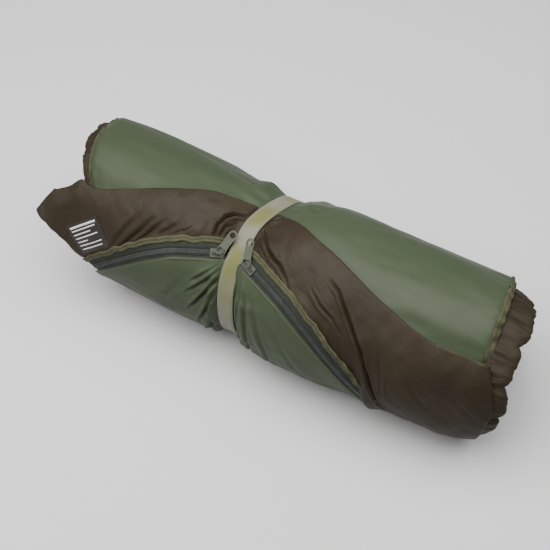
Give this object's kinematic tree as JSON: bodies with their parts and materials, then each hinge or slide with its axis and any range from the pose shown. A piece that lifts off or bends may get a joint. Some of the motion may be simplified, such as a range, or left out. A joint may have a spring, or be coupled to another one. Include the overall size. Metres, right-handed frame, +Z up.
{
  "type": "bivy sack",
  "caption": "Insulated bivy sack rolled across its length and pinched at the waist by an elastic strap, with a zip whose sliders travel, lifting zip pulls and a hinged care label.",
  "frame": {"origin": "centre of the roll's footprint, on the surface it lies on", "axes": "+X along the roll, -Y towards the zip, +Z up"},
  "size_m": [0.714, 0.25, 0.2331],
  "materials": {
    "base_fabric": "satin",
    "top_fabric": "matt, brushed",
    "binding_tape": "ribbed, matt",
    "zip_tape": "woven, matt",
    "zip_coil": "satin",
    "slider_metal": "satin",
    "spring_steel": "plain",
    "pull_metal": "satin",
    "elastic_webbing": "woven, matt",
    "sewing_thread": "matt",
    "label_fabric": "satin"
  },
  "bodies": {
    "roll": {"base_panel_outer_winding": "base_fabric", "base_panel_inner_windings": "base_fabric", "top_panel_inner_windings": "top_fabric", "top_panel_flap": "top_fabric", "base_panel_lap": "base_fabric", "elastic_strap": "elastic_webbing", "strap_bartacks": "sewing_thread", "edge_binding_left": "binding_tape", "top_panel_edge_left": "top_fabric", "edge_binding_right": "binding_tape", "top_panel_edge_right": "top_fabric", "zip_chain_left": "zip_coil", "zip_chain_right": "zip_coil", "zip_tape_upper": "zip_tape", "zip_tape_lower": "zip_tape", "zip_seam_binding": "binding_tape"},
    "slider_left": {"slider_body_left": "slider_metal", "slider_crown_left": "slider_metal", "slider_lock_spring_left": "spring_steel"},
    "slider_right": {"slider_body_right": "slider_metal", "slider_crown_right": "slider_metal", "slider_lock_spring_right": "spring_steel"},
    "pull_left": {"pull_tab_left": "pull_metal"},
    "pull_right": {"pull_tab_right": "pull_metal"},
    "label": {"care_label": "label_fabric"}
  },
  "joints": [
    {"name": "slider_left_travel", "type": "slide", "parent": "roll", "child": "slider_left", "axis": [-0.9331, -0.345, -0.1011], "range_m": [0, 0.05], "deforming": ["zip_chain_left"]},
    {"name": "pull_left_lift", "type": "hinge", "parent": "slider_left", "child": "pull_left", "pos_m": [-0.07679, -0.0643, 0.20174], "axis": [0.9547, -0.1292, -0.2682], "range_deg": [0, 110]},
    {"name": "slider_right_travel", "type": "slide", "parent": "roll", "child": "slider_right", "axis": [0.9142, -0.4001, -0.0642], "range_m": [0, 0.05], "deforming": ["zip_chain_right"]},
    {"name": "pull_right_lift", "type": "hinge", "parent": "slider_right", "child": "pull_right", "pos_m": [-0.03347, -0.06669, 0.20416], "axis": [0.9508, 0.077, 0.3002], "range_deg": [0, 110]},
    {"name": "label_fold", "type": "hinge", "parent": "roll", "child": "label", "pos_m": [-0.26004, -0.11081, 0.13918], "axis": [0.7483, 0.2355, 0.6202], "range_deg": [0, 100]}
  ]
}
